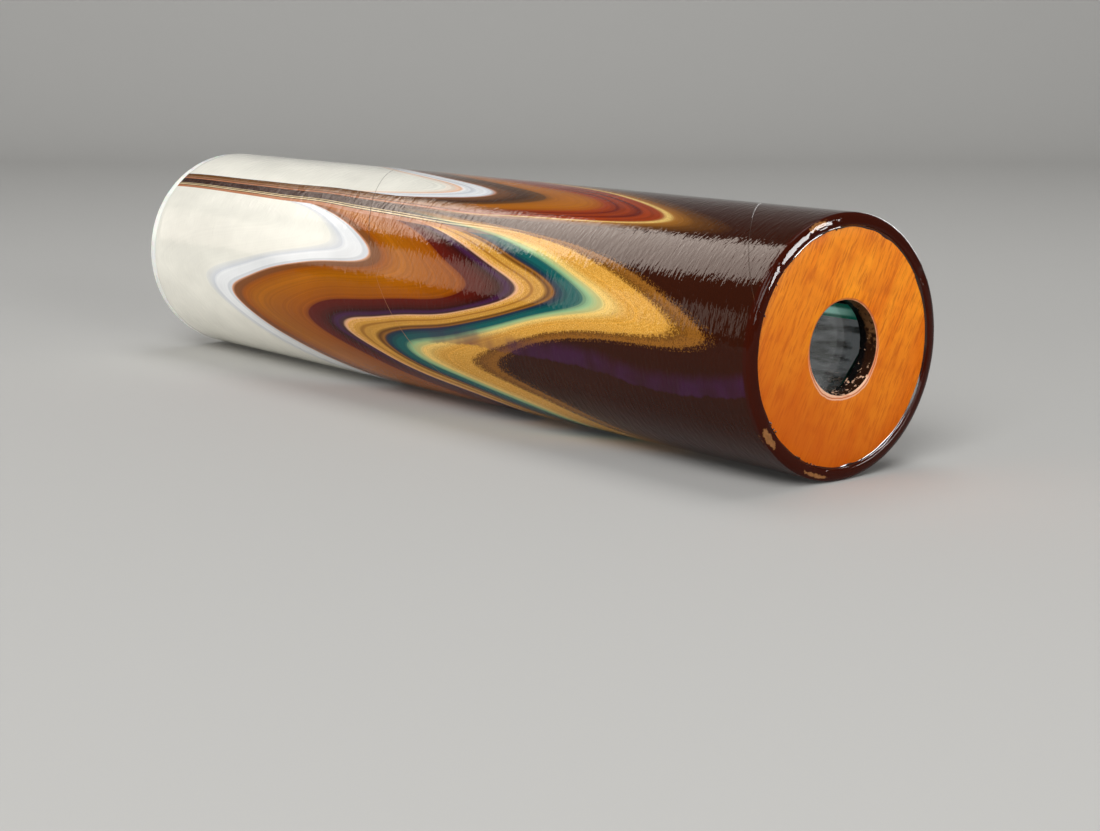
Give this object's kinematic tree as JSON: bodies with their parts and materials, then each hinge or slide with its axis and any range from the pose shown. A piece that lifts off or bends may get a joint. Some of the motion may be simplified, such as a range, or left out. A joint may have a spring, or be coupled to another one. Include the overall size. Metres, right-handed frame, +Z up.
{
  "type": "kaleidoscope",
  "caption": "Kaleidoscope: a horizontal enamelled board tube with a wood eyepiece disc, a mirror prism inside, and loose coloured glass behind a translucent white end disc.",
  "frame": {"origin": "on the barrel's axis, halfway between the lip at the eyepiece and the outer face of the white end disc", "axes": "+X along the barrel's axis towards the eyepiece, +Z up with the barrel held level, +Y to the right of someone who looks into the eyepiece"},
  "size_m": [0.25, 0.0564, 0.0564],
  "materials": {
    "marbled_enamel": "board under thick glossy marbled enamel",
    "eyepiece_wood": "clear-lacquered",
    "clear_glass": "polished",
    "mirror_glass": "polished",
    "black_card": "matt",
    "grey_board": "matt",
    "white_board": "matt",
    "white_acrylic": "translucent, satin edge",
    "amber_glass": "polished",
    "ruby_glass": "polished",
    "cobalt_glass": "polished",
    "green_glass": "polished",
    "gold_glass": "polished",
    "violet_glass": "polished",
    "teal_glass": "polished"
  },
  "bodies": {
    "scope": {"barrel_tube": "marbled_enamel", "eyepiece_disc": "eyepiece_wood", "eyepiece_window": "clear_glass", "mirror_top": "mirror_glass", "mirror_left": "mirror_glass", "mirror_right": "mirror_glass", "mirror_sleeve": "black_card", "collar_front": "grey_board", "collar_middle": "grey_board", "collar_rear": "grey_board", "chamber_window": "clear_glass", "chamber_ring": "white_board", "end_diffuser": "white_acrylic"},
    "loose_chips": {"chips_amber": "amber_glass", "chips_ruby": "ruby_glass", "chips_cobalt": "cobalt_glass"},
    "loose_beads": {"beads_green": "green_glass", "beads_clear": "clear_glass", "beads_gold": "gold_glass"},
    "loose_canes": {"canes_violet": "violet_glass", "canes_teal": "teal_glass"}
  },
  "joints": [
    {"name": "chips_tumble", "type": "hinge", "parent": "scope", "child": "loose_chips", "pos_m": [-0.1119, 0, 0], "axis": [1, 0, 0], "continuous": true},
    {"name": "beads_tumble", "type": "hinge", "parent": "scope", "child": "loose_beads", "pos_m": [-0.1158, 0, 0], "axis": [1, 0, 0], "continuous": true},
    {"name": "canes_tumble", "type": "hinge", "parent": "scope", "child": "loose_canes", "pos_m": [-0.1197, 0, 0], "axis": [1, 0, 0], "continuous": true}
  ]
}
